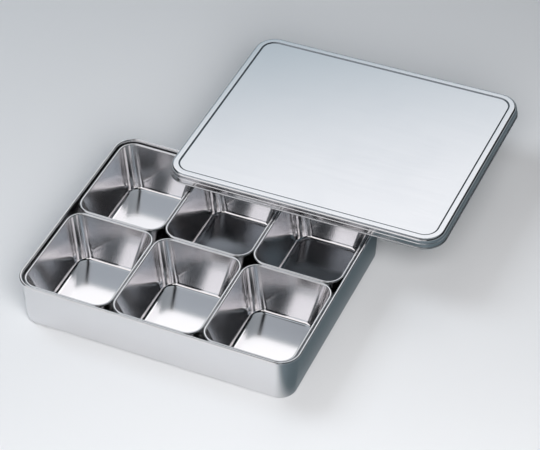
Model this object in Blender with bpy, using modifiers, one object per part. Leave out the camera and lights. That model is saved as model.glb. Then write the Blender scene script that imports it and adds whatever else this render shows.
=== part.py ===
"""Stainless steel pan with six loose cups and a lid.

Metres, +Z up. The origin is the centre of the pan's underside, +X runs along the pan's long
side, and the front of the pan faces -Y. The lid lies askew on the rims, over the back row.
"""
import math

import bmesh
import bpy

COLLECTION = "instrument_tray"

# Outer pan, measured over its rolled rim.
PAN_LENGTH = 0.327
PAN_WIDTH = 0.272
PAN_HEIGHT = 0.0592
PAN_CORNER = 0.024
PAN_SHEET = 0.0008
PAN_ROLL = 0.0035
PAN_DRAFT = 0.0026
PAN_FILLET = 0.0042

# Cups: their rims fill the pan's opening, so length, width and corner follow from the pan.
COLUMNS = 3
ROWS = 2
CUP_SHEET = 0.0007
CUP_ROLL = 0.0030
CUP_DRAFT = 0.01085
CUP_FILLET = 0.0060
CUP_FOOT_CORNER = 0.0160
CUP_SIDE_GAP = 0.0006
CUP_PAN_GAP = 0.0019
CUP_FLOOR_GAP = 0.0003
CUP_RIM_DROP = 0.0032

# Lid: its skirt passes outside the pan's rim, and its border rests on the rim.
LID_HEIGHT = 0.0126
LID_SHEET = 0.0006
LID_CLEARANCE = 0.0006
LID_BEAD = 0.0016
LID_LOWER_SKIRT = 0.0062
LID_SHOULDER = 0.0005
LID_EDGE_RADIUS = 0.0036
LID_BORDER = 0.0093
LID_PANEL_DEPTH = 0.0008
LID_PANEL_SLOPE = 0.0010

# How the lid lies: its front left corner on the rims, its right and back held slightly higher.
LID_SHIFT_X = 0.0802
LID_SHIFT_Y = 0.2172
LID_TURN = math.radians(-0.77)
LID_SIDE_RISE = math.radians(1.54)
LID_BACK_RISE = math.radians(0.36)
LID_REST_GAP = 0.0004

CORNER_STEPS = 6
CUP_CORNER_STEPS = 5
FILLET_STEPS = 3
ROLL_STEPS = 6

STEEL = {
    "pan": ((0.62, 0.63, 0.65), 0.30),
    "cup": ((0.72, 0.73, 0.75), 0.14),
    "lid": ((0.66, 0.68, 0.71), 0.26),
}
CUP_NAMES = (
    ("cup_front_left", "cup_front_centre", "cup_front_right"),
    ("cup_back_left", "cup_back_centre", "cup_back_right"),
)


def clear_scene():
    """Remove whatever the file starts with."""
    for item in list(bpy.data.objects):
        bpy.data.objects.remove(item, do_unlink=True)


def steel(name, look):
    """A Principled steel with the given colour and roughness."""
    colour, roughness = STEEL[look]
    material = bpy.data.materials.new(name)
    material.use_nodes = True
    shader = material.node_tree.nodes["Principled BSDF"]
    shader.inputs["Base Color"].default_value = (*colour, 1.0)
    shader.inputs["Metallic"].default_value = 1.0
    shader.inputs["Roughness"].default_value = roughness
    material.diffuse_color = (*colour, 1.0)
    return material


def arc(centre_inset, centre_height, radius, start, end, steps):
    """Points (inset, height) on an arc, where the angle 0 points outwards and 90 degrees up."""
    points = []
    for index in range(steps + 1):
        angle = start + (end - start) * index / steps
        points.append((centre_inset - radius * math.cos(angle), centre_height + radius * math.sin(angle)))
    return points


def vessel_stations(height, sheet, roll, draft, fillet, corner, foot_corner):
    """Inside face of a drawn vessel, from its floor's edge, up the wall and round the rolled rim.

    Each station is (inset, height, corner radius). The corner is concentric round the roll, has
    foot_corner at the wall's foot, and tightens along the fillet.
    """
    wall_foot = roll + draft
    floor_turn = arc(wall_foot + fillet, sheet + fillet, fillet, math.radians(-90), 0.0, FILLET_STEPS)
    rim = arc(roll / 2, height - roll / 2, roll / 2, math.radians(180), math.radians(-90), ROLL_STEPS)
    stations = [(inset, level, foot_corner - (inset - wall_foot)) for inset, level in floor_turn]
    return stations + [(inset, level, corner - inset) for inset, level in rim]


def lid_stations(corner):
    """Outer face of the lid, from its sunken panel, over the border and down the skirt to the bead."""
    bead = LID_BEAD / 2
    lower = LID_BEAD - LID_SHEET
    upper = lower + LID_SHOULDER
    panel_edge = upper + LID_BORDER
    points = [(panel_edge, LID_HEIGHT - LID_PANEL_DEPTH), (panel_edge - LID_PANEL_SLOPE, LID_HEIGHT)]
    points += arc(upper + LID_EDGE_RADIUS, LID_HEIGHT - LID_EDGE_RADIUS, LID_EDGE_RADIUS,
                  math.radians(90), 0.0, FILLET_STEPS)
    points += [(upper, LID_LOWER_SKIRT + LID_SHOULDER), (lower, LID_LOWER_SKIRT)]
    points += arc(bead, bead, bead - LID_SHEET, math.radians(180), math.radians(450), ROLL_STEPS)
    return [(inset, level, corner - inset) for inset, level in points]


def rounded_outline(length, width, station, steps):
    """Points of a rounded rectangle at a station, anticlockwise."""
    inset, level, radius = station
    reach_x = length / 2 - inset - radius
    reach_y = width / 2 - inset - radius
    points = []
    for corner, (side_x, side_y) in enumerate(((1, 1), (-1, 1), (-1, -1), (1, -1))):
        for index in range(steps + 1):
            angle = math.radians(90) * (corner + index / steps)
            point_x = side_x * reach_x + radius * math.cos(angle)
            point_y = side_y * reach_y + radius * math.sin(angle)
            points.append((point_x, point_y, level))
    return points


def extend_ring(bm, ring, points):
    """Extrude a closed ring of points, and put the new ring on the given points."""
    edges = [bm.edges.get((vert, ring[index - 1])) for index, vert in enumerate(ring)]
    made = bmesh.ops.extrude_edge_only(bm, edges=edges)["geom"]
    fresh = {item for item in made if isinstance(item, bmesh.types.BMVert)}
    new_ring = [next(e.other_vert(v) for e in v.link_edges if e.other_vert(v) in fresh) for v in ring]
    for vert, point in zip(new_ring, points):
        vert.co = point
    return new_ring


def pressing(name, length, width, stations, sheet, corner_steps, material):
    """A sheet pressing: a rounded rectangle extruded from station to station, then thickened."""
    bm = bmesh.new()
    ring = [bm.verts.new(point) for point in rounded_outline(length, width, stations[0], corner_steps)]
    bm.faces.new(ring)
    for station in stations[1:]:
        ring = extend_ring(bm, ring, rounded_outline(length, width, station, corner_steps))
    mesh = bpy.data.meshes.new(name)
    bm.to_mesh(mesh)
    bm.free()
    mesh.materials.append(material)
    mesh.shade_smooth()
    piece = bpy.data.objects.new(name, mesh)
    thickness = piece.modifiers.new("sheet", "SOLIDIFY")
    thickness.thickness = sheet
    thickness.offset = -1.0
    thickness.use_even_offset = True
    return piece


def outer_pan():
    """The pan that holds the cups."""
    foot_corner = PAN_CORNER - PAN_ROLL - PAN_DRAFT
    stations = vessel_stations(PAN_HEIGHT, PAN_SHEET, PAN_ROLL, PAN_DRAFT, PAN_FILLET, PAN_CORNER, foot_corner)
    return pressing("outer_pan", PAN_LENGTH, PAN_WIDTH, stations, PAN_SHEET, CORNER_STEPS,
                    steel("pan_steel", "pan"))


def cups():
    """Six equal cups that stand on the pan's floor, rim to rim."""
    edge = PAN_ROLL + CUP_PAN_GAP
    length = (PAN_LENGTH - 2 * edge - (COLUMNS - 1) * CUP_SIDE_GAP) / COLUMNS
    width = (PAN_WIDTH - 2 * edge - (ROWS - 1) * CUP_SIDE_GAP) / ROWS
    corner = PAN_CORNER - edge
    foot = PAN_SHEET + CUP_FLOOR_GAP
    height = PAN_HEIGHT - CUP_RIM_DROP - foot
    stations = vessel_stations(height, CUP_SHEET, CUP_ROLL, CUP_DRAFT, CUP_FILLET, corner, CUP_FOOT_CORNER)
    made = []
    for row, names in enumerate(CUP_NAMES):
        for column, name in enumerate(names):
            cup = pressing(name, length, width, stations, CUP_SHEET, CUP_CORNER_STEPS,
                           steel(name + "_steel", "cup"))
            cup.location.x = (column - (COLUMNS - 1) / 2) * (length + CUP_SIDE_GAP)
            cup.location.y = (row - (ROWS - 1) / 2) * (width + CUP_SIDE_GAP)
            cup.location.z = foot
            made.append(cup)
    return made


def lid():
    """The lid, lying askew with its front left corner on the rims."""
    reach = LID_CLEARANCE + LID_BEAD
    length, width, corner = PAN_LENGTH + 2 * reach, PAN_WIDTH + 2 * reach, PAN_CORNER + reach
    piece = pressing("lid", length, width, lid_stations(corner), LID_SHEET, CORNER_STEPS,
                     steel("lid_steel", "lid"))
    piece.rotation_euler = (LID_BACK_RISE, -LID_SIDE_RISE, LID_TURN)
    side_slope = math.sin(LID_SIDE_RISE)
    back_slope = math.sin(LID_BACK_RISE)
    low_corner = (length / 2 - corner) * side_slope + (width / 2 - corner) * back_slope
    low_corner += corner * math.hypot(side_slope, back_slope)
    piece.location = (LID_SHIFT_X, LID_SHIFT_Y, PAN_HEIGHT + LID_REST_GAP + low_corner)
    return piece


def main():
    """Build every piece into one collection."""
    clear_scene()
    collection = bpy.data.collections.new(COLLECTION)
    bpy.context.scene.collection.children.link(collection)
    for piece in [outer_pan(), *cups(), lid()]:
        collection.objects.link(piece)


main()
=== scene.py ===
"""Looks for a stainless steel pan with six loose cups and a loose lid.

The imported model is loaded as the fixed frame. Every pressing is rebuilt here as a fine sheet
with true rolled rims and tangent corners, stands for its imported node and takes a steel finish.
Lengths are in metres, +Z is up, and the front of the pan faces -Y.
"""

import logging
import math
from dataclasses import dataclass
from enum import Enum

import bmesh
import bpy
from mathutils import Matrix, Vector


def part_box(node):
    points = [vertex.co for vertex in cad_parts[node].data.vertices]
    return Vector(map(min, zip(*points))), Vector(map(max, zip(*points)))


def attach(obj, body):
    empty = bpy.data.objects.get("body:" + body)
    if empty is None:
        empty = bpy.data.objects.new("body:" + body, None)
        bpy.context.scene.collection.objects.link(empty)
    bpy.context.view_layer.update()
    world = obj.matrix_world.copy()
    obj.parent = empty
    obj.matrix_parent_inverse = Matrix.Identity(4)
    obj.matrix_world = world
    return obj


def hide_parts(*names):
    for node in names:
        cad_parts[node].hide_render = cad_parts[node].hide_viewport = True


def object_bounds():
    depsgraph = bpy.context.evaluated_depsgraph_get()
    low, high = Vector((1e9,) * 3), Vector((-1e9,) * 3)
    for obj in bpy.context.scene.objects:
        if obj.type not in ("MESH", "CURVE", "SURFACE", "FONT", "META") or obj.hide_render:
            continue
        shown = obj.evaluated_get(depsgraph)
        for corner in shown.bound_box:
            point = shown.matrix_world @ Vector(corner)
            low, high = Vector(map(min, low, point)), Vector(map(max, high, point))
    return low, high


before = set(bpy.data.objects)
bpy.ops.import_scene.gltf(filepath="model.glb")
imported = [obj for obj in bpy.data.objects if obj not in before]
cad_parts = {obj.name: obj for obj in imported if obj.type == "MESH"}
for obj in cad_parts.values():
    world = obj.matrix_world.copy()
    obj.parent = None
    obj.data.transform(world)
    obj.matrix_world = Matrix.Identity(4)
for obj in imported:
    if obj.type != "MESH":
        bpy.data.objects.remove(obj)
CAD_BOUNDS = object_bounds()

log = logging.getLogger("steel_pan")

QUARTER = math.radians(90.0)

# Chords in each curve of the profiles.
FILLET_STEPS = 18
ROLL_STEPS = 20
EDGE_STEPS = 12
BEAD_STEPS = 14
STEP_STEPS = 8
SHOULDER_STEPS = 6

# Shares of the grain, smears and scratches in the finishes.
STREAK_SHADE = 0.20
SMEAR_SHADE = 0.15
SCRATCH_GLOSS = 0.03


class Zone(Enum):
    """The finish that a band of a pressing takes."""

    SHEET = 0
    DRAWN = 1
    ROLL = 2


class Grain(Enum):
    """The direction in which a sheet was brushed."""

    LENGTHWISE = (0.035, 1.0, 1.0)
    EVEN = (1.0, 1.0, 1.0)


# ---------------------------------------------------------------------------------------------
# Shader groups that the finishes share
# ---------------------------------------------------------------------------------------------


class ShaderGroup:
    """A node group with named sockets, built once."""

    def __init__(self, name: str, inputs: dict[str, float], outputs: list[str]) -> None:
        """Make the empty group.

        Args:
            name: The group's name.
            inputs: Each number input and its default. A Vector input comes before them.
            outputs: The number outputs.
        """
        self.tree = bpy.data.node_groups.new(name, "ShaderNodeTree")
        self.tree.interface.new_socket("Vector", in_out="INPUT", socket_type="NodeSocketVector")
        for label, value in inputs.items():
            socket = self.tree.interface.new_socket(label, in_out="INPUT", socket_type="NodeSocketFloat")
            socket.default_value = value
        for label in outputs:
            self.tree.interface.new_socket(label, in_out="OUTPUT", socket_type="NodeSocketFloat")
        self.start = self.tree.nodes.new("NodeGroupInput")
        self.end = self.tree.nodes.new("NodeGroupOutput")

    def link(self, source: bpy.types.NodeSocket, target: bpy.types.NodeSocket) -> None:
        """Join two sockets.

        Args:
            source: An output.
            target: The input that it feeds.
        """
        self.tree.links.new(source, target)

    def math(self, operation: str, first: object, second: object) -> bpy.types.NodeSocket:
        """Add a Math node.

        Args:
            operation: Blender's name of the operation.
            first: A socket or a number.
            second: A socket or a number.

        Returns:
            The result's socket.
        """
        node = self.tree.nodes.new("ShaderNodeMath")
        node.operation = operation
        for index, value in enumerate((first, second)):
            if isinstance(value, bpy.types.NodeSocket):
                self.link(value, node.inputs[index])
            else:
                node.inputs[index].default_value = value
        return node.outputs[0]

    def noise(self, vector: bpy.types.NodeSocket, scale: object, detail: float) -> bpy.types.NodeSocket:
        """Add a noise texture.

        Args:
            vector: The place to read it at.
            scale: A socket or a number.
            detail: How many octaves.

        Returns:
            The noise value's socket.
        """
        node = self.tree.nodes.new("ShaderNodeTexNoise")
        node.inputs["Detail"].default_value = detail
        self.link(vector, node.inputs["Vector"])
        if isinstance(scale, bpy.types.NodeSocket):
            self.link(scale, node.inputs["Scale"])
        else:
            node.inputs["Scale"].default_value = scale
        return node.outputs["Fac"]

    def ramp(self, value: bpy.types.NodeSocket, low: float, high: float) -> bpy.types.NodeSocket:
        """Spread a value from low..high to 0..1, clamped and smooth.

        Args:
            value: The value's socket.
            low: What becomes 0.
            high: What becomes 1.

        Returns:
            The result's socket.
        """
        node = self.tree.nodes.new("ShaderNodeMapRange")
        node.interpolation_type = "SMOOTHSTEP"
        node.inputs["From Min"].default_value = low
        node.inputs["From Max"].default_value = high
        self.link(value, node.inputs["Value"])
        return node.outputs["Result"]


def brushed_grain() -> bpy.types.NodeTree:
    """Fine streaks left by the brushing belt.

    Returns:
        The group: Vector is already stretched along the grain, Fineness sets the streaks a
        metre. It puts out Streak, from 0 to 1.
    """
    group = ShaderGroup("brushed_grain", {"Fineness": 900.0}, ["Streak"])
    vector = group.start.outputs["Vector"]
    fine = group.noise(vector, group.start.outputs["Fineness"], 4.0)
    broad = group.noise(vector, group.math("MULTIPLY", group.start.outputs["Fineness"], 0.17), 2.0)
    mixed = group.math("ADD", group.math("MULTIPLY", fine, 0.65), group.math("MULTIPLY", broad, 0.35))
    group.link(group.ramp(mixed, 0.30, 0.70), group.end.inputs["Streak"])
    return group.tree


def handling_marks() -> bpy.types.NodeTree:
    """Faint smears and hairline scratches from washing and stacking.

    Returns:
        The group: it puts out Smear and Scratch, from 0 to 1.
    """
    group = ShaderGroup("handling_marks", {"Size": 1.0}, ["Smear", "Scratch"])
    vector = group.start.outputs["Vector"]
    blotch = group.noise(vector, group.math("MULTIPLY", group.start.outputs["Size"], 16.0), 5.0)
    group.link(group.ramp(blotch, 0.46, 0.72), group.end.inputs["Smear"])
    lines = group.tree.nodes.new("ShaderNodeTexVoronoi")
    lines.feature = "DISTANCE_TO_EDGE"
    lines.inputs["Scale"].default_value = 46.0
    bent = group.tree.nodes.new("ShaderNodeVectorMath")
    bent.operation = "MULTIPLY"
    bent.inputs[1].default_value = (0.45, 1.7, 1.0)
    group.link(vector, bent.inputs[0])
    group.link(bent.outputs["Vector"], lines.inputs["Vector"])
    thin = group.math("SUBTRACT", 1.0, group.ramp(lines.outputs["Distance"], 0.0, 0.012))
    sparse = group.ramp(group.noise(vector, 9.0, 2.0), 0.52, 0.66)
    group.link(group.math("MULTIPLY", thin, sparse), group.end.inputs["Scratch"])
    return group.tree


def sheet_wave() -> bpy.types.NodeTree:
    """The slight unevenness of a drawn sheet, which bends long reflections.

    Returns:
        The group: it puts out Wave, about 0 to 1, over a few centimetres.
    """
    group = ShaderGroup("sheet_wave", {"Pitch": 11.0}, ["Wave"])
    group.link(
        group.noise(group.start.outputs["Vector"], group.start.outputs["Pitch"], 0.0), group.end.inputs["Wave"]
    )
    return group.tree


@dataclass(frozen=True)
class SteelFinish:
    """A stainless steel surface."""

    name: str
    tint: tuple[float, float, float]
    shade: tuple[float, float, float]
    roughness: float
    grain: Grain
    grain_depth: float
    streak_gloss: float
    smear_gloss: float
    wave_height: float

    def material(self, groups: dict[str, bpy.types.NodeTree]) -> bpy.types.Material:
        """Build the material.

        Args:
            groups: The shared shader groups, by name.

        Returns:
            The new material.
        """
        material = bpy.data.materials.new(self.name)
        material.use_nodes = True
        tree = material.node_tree
        shader = tree.nodes["Principled BSDF"]
        shader.inputs["Metallic"].default_value = 1.0
        place = tree.nodes.new("ShaderNodeTexCoord").outputs["Object"]
        stretch = tree.nodes.new("ShaderNodeVectorMath")
        stretch.operation = "MULTIPLY"
        stretch.inputs[1].default_value = self.grain.value
        tree.links.new(place, stretch.inputs[0])
        grain = self._group(tree, groups["brushed_grain"], stretch.outputs["Vector"])
        marks = self._group(tree, groups["handling_marks"], place)
        wave = self._group(tree, groups["sheet_wave"], place)
        self._link_colour(tree, shader, grain, marks)
        self._link_roughness(tree, shader, grain, marks)
        self._link_relief(tree, shader, grain, wave)
        return material

    def _group(
        self, tree: bpy.types.NodeTree, group: bpy.types.NodeTree, vector: bpy.types.NodeSocket
    ) -> bpy.types.Node:
        """Place a shared group in the material and feed its Vector.

        Args:
            tree: The material's tree.
            group: The shared group.
            vector: Where to read it.

        Returns:
            The group's node.
        """
        node = tree.nodes.new("ShaderNodeGroup")
        node.node_tree = group
        tree.links.new(vector, node.inputs["Vector"])
        return node

    def _link_colour(
        self, tree: bpy.types.NodeTree, shader: bpy.types.Node, grain: bpy.types.Node, marks: bpy.types.Node
    ) -> None:
        """Tint the steel, a little darker in the streaks and smears.

        Args:
            tree: The material's tree.
            shader: The Principled shader.
            grain: The brushed_grain node.
            marks: The handling_marks node.
        """
        mix = tree.nodes.new("ShaderNodeMix")
        mix.data_type = "RGBA"
        mix.inputs["A"].default_value = (*self.tint, 1.0)
        mix.inputs["B"].default_value = (*self.shade, 1.0)
        amount = tree.nodes.new("ShaderNodeMath")
        amount.operation = "MULTIPLY_ADD"
        amount.use_clamp = True
        tree.links.new(grain.outputs["Streak"], amount.inputs[0])
        amount.inputs[1].default_value = STREAK_SHADE
        faint = tree.nodes.new("ShaderNodeMath")
        faint.operation = "MULTIPLY"
        faint.inputs[1].default_value = SMEAR_SHADE
        tree.links.new(marks.outputs["Smear"], faint.inputs[0])
        tree.links.new(faint.outputs[0], amount.inputs[2])
        tree.links.new(amount.outputs[0], mix.inputs["Factor"])
        tree.links.new(mix.outputs["Result"], shader.inputs["Base Color"])

    def _link_roughness(
        self, tree: bpy.types.NodeTree, shader: bpy.types.Node, grain: bpy.types.Node, marks: bpy.types.Node
    ) -> None:
        """Vary the gloss with the streaks, smears and scratches.

        Args:
            tree: The material's tree.
            shader: The Principled shader.
            grain: The brushed_grain node.
            marks: The handling_marks node.
        """
        total = self.roughness
        terms = (
            (grain.outputs["Streak"], self.streak_gloss),
            (marks.outputs["Smear"], self.smear_gloss),
            (marks.outputs["Scratch"], SCRATCH_GLOSS),
        )
        for socket, share in terms:
            step = tree.nodes.new("ShaderNodeMath")
            step.operation = "MULTIPLY_ADD"
            tree.links.new(socket, step.inputs[0])
            step.inputs[1].default_value = share
            if isinstance(total, float):
                step.inputs[2].default_value = total
            else:
                tree.links.new(total, step.inputs[2])
            total = step.outputs[0]
        tree.links.new(total, shader.inputs["Roughness"])

    def _link_relief(
        self, tree: bpy.types.NodeTree, shader: bpy.types.Node, grain: bpy.types.Node, wave: bpy.types.Node
    ) -> None:
        """Raise the grain and the sheet's slow wave as bumps.

        Args:
            tree: The material's tree.
            shader: The Principled shader.
            grain: The brushed_grain node.
            wave: The sheet_wave node.
        """
        slow = tree.nodes.new("ShaderNodeBump")
        slow.inputs["Distance"].default_value = self.wave_height
        tree.links.new(wave.outputs["Wave"], slow.inputs["Height"])
        fine = tree.nodes.new("ShaderNodeBump")
        fine.inputs["Distance"].default_value = self.grain_depth
        tree.links.new(grain.outputs["Streak"], fine.inputs["Height"])
        tree.links.new(slow.outputs["Normal"], fine.inputs["Normal"])
        tree.links.new(fine.outputs["Normal"], shader.inputs["Normal"])


# ---------------------------------------------------------------------------------------------
# Pressings
# ---------------------------------------------------------------------------------------------


@dataclass(frozen=True)
class Station:
    """One ring of a pressing: its inset from the outermost outline, its level and its corner."""

    inset: float
    level: float
    corner: float
    zone: Zone = Zone.SHEET


def arc(
    centre: tuple[float, float], radius: float, start: float, end: float, steps: int
) -> list[tuple[float, float]]:
    """Points (inset, level) on an arc of a profile.

    Args:
        centre: The arc's centre, as inset and level.
        radius: Its radius.
        start: The first angle, where 0 points outwards and a quarter turn points up.
        end: The last angle.
        steps: How many chords.

    Returns:
        The points, from start to end.
    """
    points = []
    for index in range(steps + 1):
        angle = start + (end - start) * index / steps
        points.append((centre[0] - radius * math.cos(angle), centre[1] + radius * math.sin(angle)))
    return points


@dataclass
class Pressing:
    """A piece drawn from one steel sheet: a flat panel, and a profile swept round it."""

    name: str
    node: str
    body: str
    slot: str
    length: float
    width: float
    corner: float
    sheet: float
    finishes: tuple[SteelFinish, SteelFinish, SteelFinish]
    corner_steps: int = 16

    def stations(self) -> list[Station]:
        """The rings of the sheet's upper face, from the panel's edge outwards.

        Returns:
            The stations, in order.
        """
        raise NotImplementedError

    def outline(self, station: Station) -> list[tuple[float, float, float]]:
        """The points of one ring.

        Args:
            station: Which ring.

        Returns:
            The points, anticlockwise seen from above.
        """
        reach_x = self.length / 2 - station.inset - station.corner
        reach_y = self.width / 2 - station.inset - station.corner
        points = []
        for corner, (side_x, side_y) in enumerate(((1, 1), (-1, 1), (-1, -1), (1, -1))):
            for index in range(self.corner_steps + 1):
                angle = QUARTER * (corner + index / self.corner_steps)
                across = side_x * reach_x + station.corner * math.cos(angle)
                along = side_y * reach_y + station.corner * math.sin(angle)
                points.append((across, along, station.level))
        return points

    def shell(self, materials: dict[str, bpy.types.Material]) -> bpy.types.Object:
        """Sweep the profile and give the sheet its thickness.

        Args:
            materials: The steel materials, by finish name.

        Returns:
            The new object, in its own frame.
        """
        bm = bmesh.new()
        stations = self.stations()
        rings = [[bm.verts.new(point) for point in self.outline(station)] for station in stations]
        bm.faces.new(rings[0])
        for ring, inner, outer in zip(stations[1:], rings, rings[1:]):
            for index in range(len(inner)):
                following = (index + 1) % len(inner)
                face = bm.faces.new((inner[index], outer[index], outer[following], inner[following]))
                face.material_index = ring.zone.value
        mesh = bpy.data.meshes.new(self.name)
        bm.to_mesh(mesh)
        bm.free()
        mesh.shade_smooth()
        for finish in self.finishes:
            mesh.materials.append(materials[finish.name])
        piece = bpy.data.objects.new(self.name, mesh)
        bpy.context.scene.collection.objects.link(piece)
        thickness = piece.modifiers.new("sheet", "SOLIDIFY")
        thickness.thickness = self.sheet
        thickness.offset = -1.0
        thickness.use_even_offset = True
        normals = piece.modifiers.new("flat_faces_lead", "WEIGHTED_NORMAL")
        normals.mode = "FACE_AREA"
        normals.weight = 100
        return piece

    def place(self, piece: bpy.types.Object) -> None:
        """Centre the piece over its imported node, and stand it on the node's lowest level.

        Args:
            piece: The piece to place.
        """
        low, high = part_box(self.node)
        piece.location = ((low.x + high.x) / 2, (low.y + high.y) / 2, low.z)

    def build(self, materials: dict[str, bpy.types.Material]) -> bpy.types.Object:
        """Make the piece, put it in place and tie it to the frame.

        Args:
            materials: The steel materials, by finish name.

        Returns:
            The finished piece.
        """
        piece = self.shell(materials)
        self.place(piece)
        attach(piece, self.body)
        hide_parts(self.node)
        log.info("%s: %d faces, stands for %s", self.name, len(piece.data.polygons), self.node)
        return piece


@dataclass
class Vessel(Pressing):
    """A drawn vessel: a flat floor, a fillet, a tapered wall and a rolled rim."""

    height: float = 0.05
    roll: float = 0.003
    draft: float = 0.003
    fillet: float = 0.007
    foot_corner: float = 0.0

    def stations(self) -> list[Station]:
        """The inside face, from the floor's edge to the end of the roll, with no kink.

        Returns:
            The stations, in order.
        """
        radius = self.roll / 2
        rise = self.height - radius - self.sheet - self.fillet
        reach = radius + self.draft + self.fillet
        slope = math.acos((radius + self.fillet) / math.hypot(reach, rise)) - math.atan2(rise, reach)
        turn_centre = (self.roll + self.draft + self.fillet, self.sheet + self.fillet)
        roll_centre = (radius, self.height - radius)
        wall_foot_corner = self.foot_corner or self.corner - self.roll - self.draft
        made = []
        for inset, level in arc(turn_centre, self.fillet, -QUARTER, -slope, FILLET_STEPS):
            taken = inset - self.roll - self.draft
            made.append(Station(inset, level, max(wall_foot_corner - taken, 0.0006), Zone.DRAWN))
        rim = arc(roll_centre, radius, 2 * QUARTER - slope, -QUARTER, ROLL_STEPS)
        for index, (inset, level) in enumerate(rim):
            zone = Zone.ROLL if index else Zone.SHEET
            made.append(Station(inset, level, self.corner - inset, zone))
        return made


@dataclass
class Lid(Pressing):
    """The lid: a sunken panel, a flat border, a skirt with a shoulder, and a rolled bead."""

    height: float = 0.0126
    bead: float = 0.0016
    lower_skirt: float = 0.0062
    shoulder: float = 0.0005
    edge_radius: float = 0.0036
    border: float = 0.0093
    panel_depth: float = 0.0008
    panel_slope: float = 0.0010
    groove_width: float = 0.0011
    groove_depth: float = 0.0005
    back_rise: float = 0.0
    side_rise: float = 0.0
    turn: float = 0.0

    def stations(self) -> list[Station]:
        """The outer face, from the panel's edge over the border and down to the bead.

        Returns:
            The stations, in order.
        """
        half_bead = self.bead / 2
        lower = self.bead - self.sheet
        upper = lower + self.shoulder
        panel_edge = upper + self.border
        crease = self._step(panel_edge)
        # The crease band takes the lid's middle finish, a near-black painted shade.
        made = [Station(inset, level, self.corner - inset, Zone.DRAWN) for inset, level in crease]
        edge_centre = (upper + self.edge_radius, self.height - self.edge_radius)
        points = arc(edge_centre, self.edge_radius, QUARTER, 0.0, EDGE_STEPS)
        points += self._shoulder(upper, lower)
        made += [Station(inset, level, self.corner - inset) for inset, level in points]
        roll = arc((half_bead, half_bead), half_bead - self.sheet, 2 * QUARTER, 5 * QUARTER, BEAD_STEPS)
        made += [Station(inset, level, self.corner - inset, Zone.ROLL) for inset, level in roll]
        return made

    def _step(self, panel_edge: float) -> list[tuple[float, float]]:
        """The crease round the panel: a shallow groove, then the small rise to the border.

        Args:
            panel_edge: The inset of the step's foot.

        Returns:
            The points (inset, level), from the panel outwards.
        """
        floor = self.height - self.panel_depth
        points = []
        for index in range(STEP_STEPS + 1):
            share = index / STEP_STEPS
            ease = share * share * (3 - 2 * share)
            points.append((panel_edge + self.groove_width * (1 - share), floor - self.groove_depth * ease))
        for index in range(1, STEP_STEPS + 1):
            share = index / STEP_STEPS
            ease = share * share * (3 - 2 * share)
            rise = (self.panel_depth + self.groove_depth) * ease
            points.append((panel_edge - self.panel_slope * share, floor - self.groove_depth + rise))
        return points

    def _shoulder(self, upper: float, lower: float) -> list[tuple[float, float]]:
        """The step in the skirt that stiffens it.

        Args:
            upper: The inset of the skirt above the step.
            lower: The inset of the skirt below it.

        Returns:
            The points (inset, level), downwards.
        """
        points = []
        for index in range(SHOULDER_STEPS + 1):
            share = index / SHOULDER_STEPS
            ease = share * share * (3 - 2 * share)
            level = self.lower_skirt + 2 * self.shoulder * (1 - share)
            points.append((upper - self.shoulder * ease, level))
        return points

    def place(self, piece: bpy.types.Object) -> None:
        """Tilt the lid as it lies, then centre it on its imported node's box.

        Args:
            piece: The lid.
        """
        piece.rotation_euler = (self.back_rise, -self.side_rise, self.turn)
        bpy.context.view_layer.update()
        evaluated = piece.evaluated_get(bpy.context.evaluated_depsgraph_get())
        corners = [piece.matrix_world @ vert.co for vert in evaluated.data.vertices]
        low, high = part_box(self.node)
        own_low = Vector([min(corner[axis] for corner in corners) for axis in range(3)])
        own_high = Vector([max(corner[axis] for corner in corners) for axis in range(3)])
        piece.location = (low + high) / 2 - (own_low + own_high) / 2


# ---------------------------------------------------------------------------------------------
# Finishes
# ---------------------------------------------------------------------------------------------

PAN_STEEL = SteelFinish(
    "pan_satin_steel",
    tint=(0.78, 0.78, 0.79),
    shade=(0.70, 0.71, 0.73),
    roughness=0.20,
    grain=Grain.LENGTHWISE,
    grain_depth=0.0000006,
    streak_gloss=0.03,
    smear_gloss=0.01,
    wave_height=0.00006,
)
PAN_ROLL_STEEL = SteelFinish(
    "pan_rolled_rim_steel",
    tint=(0.82, 0.82, 0.83),
    shade=(0.72, 0.73, 0.75),
    roughness=0.06,
    grain=Grain.EVEN,
    grain_depth=0.000001,
    streak_gloss=0.02,
    smear_gloss=0.02,
    wave_height=0.00001,
)
CUP_STEEL = SteelFinish(
    "cup_satin_steel",
    tint=(0.90, 0.89, 0.90),
    shade=(0.84, 0.84, 0.86),
    roughness=0.14,
    grain=Grain.LENGTHWISE,
    grain_depth=0.0000001,
    streak_gloss=0.01,
    smear_gloss=0.01,
    wave_height=0.00006,
)
CUP_DRAWN_STEEL = SteelFinish(
    "cup_drawn_corner_steel",
    tint=(0.90, 0.89, 0.90),
    shade=(0.84, 0.84, 0.86),
    roughness=0.07,
    grain=Grain.EVEN,
    grain_depth=0.000001,
    streak_gloss=0.02,
    smear_gloss=0.02,
    wave_height=0.00002,
)
CUP_ROLL_STEEL = SteelFinish(
    "cup_rolled_rim_steel",
    tint=(0.84, 0.84, 0.85),
    shade=(0.75, 0.76, 0.78),
    roughness=0.05,
    grain=Grain.EVEN,
    grain_depth=0.000001,
    streak_gloss=0.02,
    smear_gloss=0.02,
    wave_height=0.00001,
)
LID_STEEL = SteelFinish(
    "lid_satin_steel",
    tint=(0.80, 0.81, 0.83),
    shade=(0.73, 0.75, 0.78),
    roughness=0.17,
    grain=Grain.LENGTHWISE,
    grain_depth=0.000002,
    streak_gloss=0.02,
    smear_gloss=0.01,
    wave_height=0.00003,
)
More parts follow.
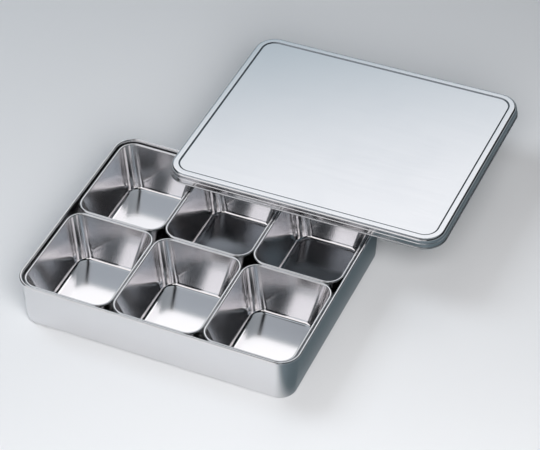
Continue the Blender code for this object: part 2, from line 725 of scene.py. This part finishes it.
# Painted shade: the crease round the lid's panel is coloured near black to stand in for the shade and dark
# reflection along the step. It is not the steel's own colour.
LID_CREASE_PAINTED_SHADE = SteelFinish(
    "lid_crease_painted_shade",
    tint=(0.26, 0.29, 0.32),
    shade=(0.18, 0.20, 0.22),
    roughness=0.22,
    grain=Grain.EVEN,
    grain_depth=0.000001,
    streak_gloss=0.02,
    smear_gloss=0.02,
    wave_height=0.00001,
)
LID_ROLL_STEEL = SteelFinish(
    "lid_bead_steel",
    tint=(0.84, 0.84, 0.85),
    shade=(0.75, 0.76, 0.78),
    roughness=0.10,
    grain=Grain.EVEN,
    grain_depth=0.000001,
    streak_gloss=0.02,
    smear_gloss=0.02,
    wave_height=0.00001,
)

FINISHES = (PAN_STEEL, PAN_ROLL_STEEL, CUP_STEEL, CUP_DRAWN_STEEL, CUP_ROLL_STEEL, LID_STEEL,
            LID_CREASE_PAINTED_SHADE, LID_ROLL_STEEL)


class TrayAssembly:
    """The pan, its six cups and the lid."""

    def __init__(self) -> None:
        """Build the shared shader groups and every finish."""
        groups = {
            "brushed_grain": brushed_grain(),
            "handling_marks": handling_marks(),
            "sheet_wave": sheet_wave(),
        }
        self.materials = {finish.name: finish.material(groups) for finish in FINISHES}

    def pan(self) -> Pressing:
        """The outer pan, with its overall sizes from the frame.

        Returns:
            The pan.
        """
        low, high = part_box("outer_pan")
        size = high - low
        return Vessel(
            "outer_pan_shell", "outer_pan", "pan", "pan_steel", size.x, size.y,
            corner=0.024, sheet=0.0008, finishes=(PAN_STEEL, PAN_STEEL, PAN_ROLL_STEEL),
            height=size.z, roll=0.0035, draft=0.0026, fillet=0.0042,
        )

    def cups(self) -> list[Pressing]:
        """The six cups, with their overall sizes from the frame.

        Returns:
            The cups, front row first.
        """
        made = []
        for row in ("front", "back"):
            for column in ("left", "centre", "right"):
                node = f"cup_{row}_{column}"
                low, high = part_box(node)
                size = high - low
                made.append(
                    Vessel(
                        f"{node}_shell", node, f"{row}_{column}", "cup_steel", size.x, size.y,
                        corner=0.0186, sheet=0.0007, finishes=(CUP_STEEL, CUP_DRAWN_STEEL, CUP_ROLL_STEEL),
                        height=size.z, roll=0.0030, draft=0.01085, fillet=0.0060, foot_corner=0.0160,
                    )
                )
        return made

    def lid(self) -> Pressing:
        """The lid, which lies askew on the rims.

        Returns:
            The lid.
        """
        return Lid(
            "lid_shell", "lid", "lid", "lid_steel", length=0.3314, width=0.2764,
            corner=0.0262, sheet=0.0006, finishes=(LID_STEEL, LID_CREASE_PAINTED_SHADE, LID_ROLL_STEEL),
            back_rise=math.radians(0.36), side_rise=math.radians(1.54), turn=math.radians(-0.77),
        )

    def build(self) -> None:
        """Build every piece in order."""
        for pressing in [self.pan(), *self.cups(), self.lid()]:
            pressing.build(self.materials)


# ---------------------------------------------------------------------------------------------
# Studio
# ---------------------------------------------------------------------------------------------


@dataclass(frozen=True)
class Lamp:
    """A soft lamp that lights the floor and stays out of the steel's reflections."""

    name: str
    place: tuple[float, float, float]
    aim: tuple[float, float, float]
    size: tuple[float, float]
    power: float
    colour: tuple[float, float, float] = (1.0, 1.0, 1.0)

    def build(self) -> bpy.types.Object:
        """Make the lamp and point it.

        Returns:
            The lamp.
        """
        lamp = bpy.data.lights.new(self.name, "AREA")
        lamp.shape = "RECTANGLE"
        lamp.size, lamp.size_y = self.size
        lamp.energy = self.power
        lamp.color = self.colour
        item = bpy.data.objects.new(self.name, lamp)
        item.location = self.place
        item.rotation_euler = (Vector(self.aim) - Vector(self.place)).to_track_quat("-Z", "Y").to_euler()
        item.visible_glossy = False
        bpy.context.scene.collection.objects.link(item)
        return item


@dataclass(frozen=True)
class Card:
    """A glowing studio card that is seen only in the steel."""

    name: str
    azimuth: float
    elevation: float
    distance: float
    size: tuple[float, float]
    low: tuple[float, float, float]
    high: tuple[float, float, float]
    climb: tuple[float, float] = (-0.5, 0.5)
    edge: float = 0.12

    def build(self) -> bpy.types.Object:
        """Make the card, facing the pan.

        Returns:
            The card.
        """
        bm = bmesh.new()
        bmesh.ops.create_grid(bm, x_segments=1, y_segments=1, size=0.5)
        mesh = bpy.data.meshes.new(self.name)
        bm.to_mesh(mesh)
        bm.free()
        mesh.materials.append(self._glow())
        item = bpy.data.objects.new(self.name, mesh)
        turn, lift = math.radians(self.azimuth), math.radians(self.elevation)
        away = Vector((math.sin(turn) * math.cos(lift), math.cos(turn) * math.cos(lift), math.sin(lift)))
        item.location = Vector((0.05, 0.08, 0.05)) + away * self.distance
        item.rotation_euler = away.to_track_quat("Z", "Y").to_euler()
        item.scale = (*self.size, 1.0)
        for ray in ("visible_camera", "visible_diffuse", "visible_shadow", "visible_transmission"):
            setattr(item, ray, False)
        bpy.context.scene.collection.objects.link(item)
        return item

    def _glow(self) -> bpy.types.Material:
        """A glow that runs from the low colour to the high one, and fades at the card's edge.

        Returns:
            The material.
        """
        material = bpy.data.materials.new(self.name)
        material.use_nodes = True
        tree = material.node_tree
        tree.nodes.clear()
        place = tree.nodes.new("ShaderNodeSeparateXYZ")
        tree.links.new(tree.nodes.new("ShaderNodeTexCoord").outputs["Object"], place.inputs[0])
        fades = [self._fade(tree, place.outputs[axis], self.edge) for axis in ("X", "Y")]
        both = tree.nodes.new("ShaderNodeMath")
        both.operation = "MULTIPLY"
        climb = tree.nodes.new("ShaderNodeMapRange")
        climb.interpolation_type = "SMOOTHSTEP"
        climb.inputs["From Min"].default_value = self.climb[0]
        climb.inputs["From Max"].default_value = self.climb[1]
        tree.links.new(place.outputs["Y"], climb.inputs["Value"])
        mix = tree.nodes.new("ShaderNodeMix")
        mix.data_type = "RGBA"
        mix.inputs["A"].default_value = (*self.low, 1.0)
        mix.inputs["B"].default_value = (*self.high, 1.0)
        tree.links.new(climb.outputs["Result"], mix.inputs["Factor"])
        for index, fade in enumerate(fades):
            tree.links.new(fade, both.inputs[index])
        glow = tree.nodes.new("ShaderNodeEmission")
        tree.links.new(mix.outputs["Result"], glow.inputs["Color"])
        tree.links.new(both.outputs[0], glow.inputs["Strength"])
        tree.links.new(glow.outputs[0], tree.nodes.new("ShaderNodeOutputMaterial").inputs["Surface"])
        return material

    def _fade(
        self, tree: bpy.types.NodeTree, along: bpy.types.NodeSocket, share: float
    ) -> bpy.types.NodeSocket:
        """A value that is 1 over the card and falls to 0 at both its ends.

        Args:
            tree: The card's tree.
            along: The place across the card, from -0.5 to 0.5.
            share: The share of the card that the fade takes.

        Returns:
            The value's socket.
        """
        distance = tree.nodes.new("ShaderNodeMath")
        distance.operation = "ABSOLUTE"
        tree.links.new(along, distance.inputs[0])
        fade = tree.nodes.new("ShaderNodeMapRange")
        fade.interpolation_type = "SMOOTHSTEP"
        fade.inputs["From Min"].default_value = 0.5
        fade.inputs["From Max"].default_value = 0.5 - share
        tree.links.new(distance.outputs[0], fade.inputs["Value"])
        return fade.outputs["Result"]


LAMPS = (
    Lamp("key_lamp", (-1.25, 0.10, 1.70), (0.05, 0.05, 0.0), (1.0, 1.0), 16.0, (0.88, 0.94, 1.0)),
    Lamp("front_lamp", (0.75, -1.10, 1.10), (0.25, -0.30, 0.0), (1.2, 1.2), 34.0, (1.0, 0.985, 0.98)),
)

CARDS = (
    Card("sky_card", -27.0, 43.0, 1.9, (2.1, 1.9), (0.34, 0.43, 0.49), (1.15, 1.15, 1.17), climb=(-0.26, 0.0)),
    Card("front_left_card", -154.0, 26.0, 1.9, (2.4, 1.7), (0.84, 0.82, 0.83), (1.07, 1.04, 1.04)),
    Card("behind_camera_card", 164.0, 36.0, 3.2, (1.5, 1.6), (0.62, 0.61, 0.61), (0.90, 0.88, 0.88)),
    Card("overhead_left_card", -112.0, 60.0, 2.0, (1.5, 1.5), (0.34, 0.39, 0.43), (0.50, 0.54, 0.58), edge=0.2),
    Card("overhead_right_card", 60.0, 74.0, 2.0, (1.9, 1.9), (0.26, 0.29, 0.31), (0.36, 0.39, 0.41), edge=0.2),
)


@dataclass
class Studio:
    """A pale floor, soft lamps and the camera."""

    azimuth: float = math.radians(23.35)
    elevation: float = math.radians(41.82)
    distance: float = 2.6197
    target: tuple[float, float, float] = (0.02874, 0.11747, 0.0015)
    lens: float = 153.72
    sensor: float = 36.0
    pale: tuple[float, float, float] = (0.772, 0.784, 0.80)
    # Painted shade: the dark colour that glossy rays see on the floor's right side, standing in for the lid's
    # shadow in the steel's reflections.
    painted_shade: tuple[float, float, float] = (0.13, 0.17, 0.19)
    painted_shade_band: tuple[float, float] = (0.135, 0.172)
    horizon: tuple[float, float] = (0.42, 0.18)
    dark_air: tuple[float, float, float] = (0.012, 0.014, 0.016)
    horizon_air: tuple[float, float, float] = (0.34, 0.37, 0.39)
    backdrop: tuple[float, float, float] = (0.82, 0.84, 0.86)

    def camera(self) -> None:
        """Look at the pan from the front right, from above, with a long lens."""
        data = bpy.data.cameras.new("camera")
        data.lens = self.lens
        data.sensor_width = self.sensor
        data.clip_end = 50.0
        item = bpy.data.objects.new("camera", data)
        flat = math.cos(self.elevation)
        back = Vector(
            (math.sin(self.azimuth) * flat, -math.cos(self.azimuth) * flat, math.sin(self.elevation))
        )
        item.location = Vector(self.target) + back * self.distance
        item.rotation_euler = back.to_track_quat("Z", "Y").to_euler()
        bpy.context.scene.collection.objects.link(item)
        bpy.context.scene.camera = item

    def floor(self) -> None:
        """A large pale floor with a faint gloss."""
        bm = bmesh.new()
        bmesh.ops.create_grid(bm, x_segments=1, y_segments=1, size=6.0)
        mesh = bpy.data.meshes.new("floor")
        bm.to_mesh(mesh)
        bm.free()
        material = bpy.data.materials.new("pale_floor")
        material.use_nodes = True
        shader = material.node_tree.nodes["Principled BSDF"]
        shader.inputs["Roughness"].default_value = 0.35
        self._floor_colour(material.node_tree, shader)
        mesh.materials.append(material)
        item = bpy.data.objects.new("floor", mesh)
        item.location.z = CAD_BOUNDS[0][2] - 0.0002
        bpy.context.scene.collection.objects.link(item)

    def _floor_colour(self, tree: bpy.types.NodeTree, shader: bpy.types.Node) -> None:
        """Pale to the eye and to diffuse light; glossy rays see its right side dark, a painted shade that the
        steel mirrors.

        Args:
            tree: The floor material's tree.
            shader: Its Principled shader.
        """
        place = tree.nodes.new("ShaderNodeSeparateXYZ")
        tree.links.new(tree.nodes.new("ShaderNodeTexCoord").outputs["Object"], place.inputs[0])
        shaded_side = tree.nodes.new("ShaderNodeMapRange")
        shaded_side.interpolation_type = "SMOOTHSTEP"
        shaded_side.inputs["From Min"].default_value = self.painted_shade_band[0]
        shaded_side.inputs["From Max"].default_value = self.painted_shade_band[1]
        tree.links.new(place.outputs["X"], shaded_side.inputs["Value"])
        # Only glossy rays see the painted shade, so the steel mirrors a shadowed floor that the camera never
        # sees.
        rays = tree.nodes.new("ShaderNodeLightPath")
        amount = tree.nodes.new("ShaderNodeMath")
        amount.operation = "MULTIPLY"
        tree.links.new(shaded_side.outputs["Result"], amount.inputs[0])
        tree.links.new(rays.outputs["Is Glossy Ray"], amount.inputs[1])
        mix = tree.nodes.new("ShaderNodeMix")
        mix.data_type = "RGBA"
        mix.inputs["A"].default_value = (*self.pale, 1.0)
        mix.inputs["B"].default_value = (*self.painted_shade, 1.0)
        tree.links.new(amount.outputs[0], mix.inputs["Factor"])
        tree.links.new(mix.outputs["Result"], shader.inputs["Base Color"])

    def world(self) -> None:
        """Dim surroundings for the steel to mirror, and a pale backdrop for the camera."""
        world = bpy.data.worlds.new("studio")
        world.use_nodes = True
        tree = world.node_tree
        dim = tree.nodes["Background"]
        height = tree.nodes.new("ShaderNodeSeparateXYZ")
        tree.links.new(tree.nodes.new("ShaderNodeTexCoord").outputs["Generated"], height.inputs[0])
        band = tree.nodes.new("ShaderNodeMapRange")
        band.interpolation_type = "SMOOTHSTEP"
        band.inputs["From Min"].default_value = self.horizon[0]
        band.inputs["From Max"].default_value = self.horizon[1]
        tree.links.new(height.outputs["Z"], band.inputs["Value"])
        tint = tree.nodes.new("ShaderNodeMix")
        tint.data_type = "RGBA"
        tint.inputs["A"].default_value = (*self.dark_air, 1.0)
        tint.inputs["B"].default_value = (*self.horizon_air, 1.0)
        tree.links.new(band.outputs["Result"], tint.inputs["Factor"])
        tree.links.new(tint.outputs["Result"], dim.inputs["Color"])
        pale = tree.nodes.new("ShaderNodeBackground")
        pale.inputs["Color"].default_value = (*self.backdrop, 1.0)
        rays = tree.nodes.new("ShaderNodeLightPath")
        mix = tree.nodes.new("ShaderNodeMixShader")
        tree.links.new(rays.outputs["Is Camera Ray"], mix.inputs["Fac"])
        tree.links.new(dim.outputs[0], mix.inputs[1])
        tree.links.new(pale.outputs[0], mix.inputs[2])
        tree.links.new(mix.outputs[0], tree.nodes["World Output"].inputs["Surface"])
        bpy.context.scene.world = world

    def lamps(self) -> None:
        """Lamps for the floor, and cards for the steel to mirror."""
        for item in LAMPS + CARDS:
            item.build()

    def build(self) -> None:
        """Set the whole studio up."""
        self.camera()
        self.floor()
        self.world()
        self.lamps()
        bpy.context.scene.view_settings.view_transform = "Standard"


def main() -> None:
    """Build the studio and the pan."""
    logging.basicConfig(level=logging.INFO, format="%(name)s %(message)s")
    Studio().build()
    TrayAssembly().build()


if __name__ == "__main__":
    main()
